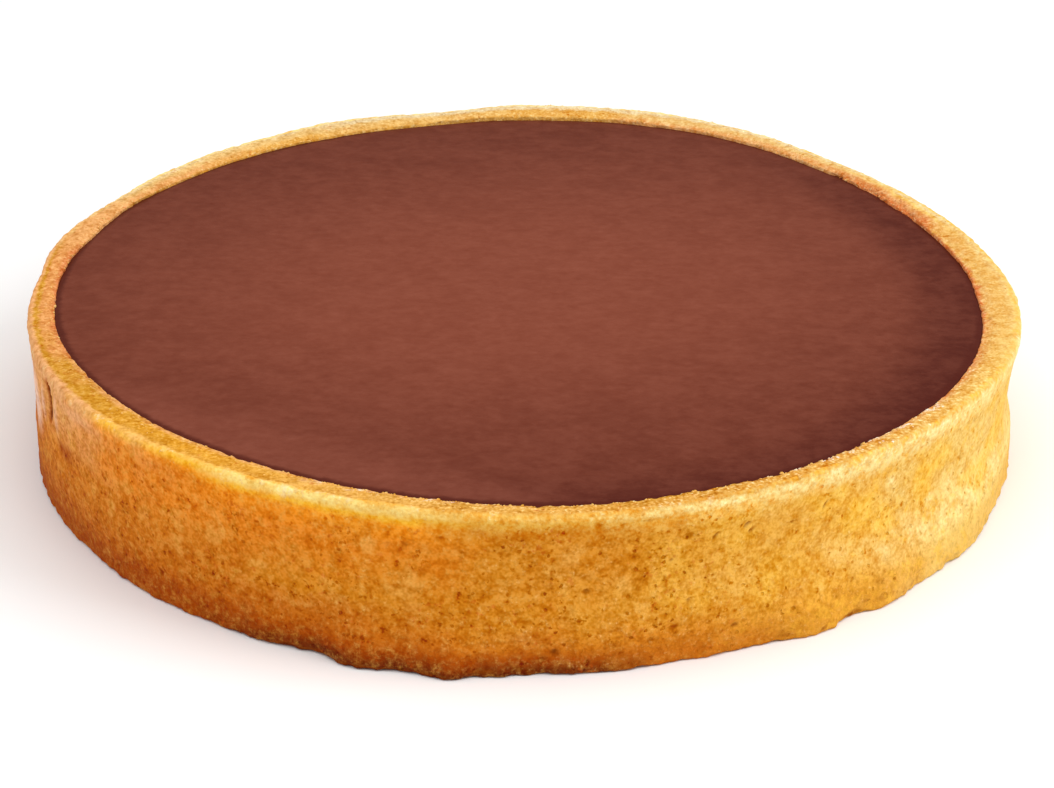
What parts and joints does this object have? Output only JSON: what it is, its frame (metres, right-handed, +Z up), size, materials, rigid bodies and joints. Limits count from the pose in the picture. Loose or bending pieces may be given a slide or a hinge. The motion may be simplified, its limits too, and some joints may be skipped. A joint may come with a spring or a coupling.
{
  "type": "chocolate tart",
  "caption": "Round shortcrust tart shell with a straight wall and trimmed rim, filled level with smooth set chocolate ganache.",
  "frame": {"origin": "centre of the flat underside of the shell", "axes": "+Z up, through the middle of the filling; -Y towards the side that is seen from the front"},
  "size_m": [0.1227, 0.1239, 0.0202],
  "materials": {
    "shortcrust": "golden baked shortcrust, finely pitted, browner towards the foot",
    "ganache": "satin set milk chocolate ganache"
  },
  "bodies": {
    "root": {"shell": "shortcrust", "filling": "ganache"}
  },
  "joints": []
}
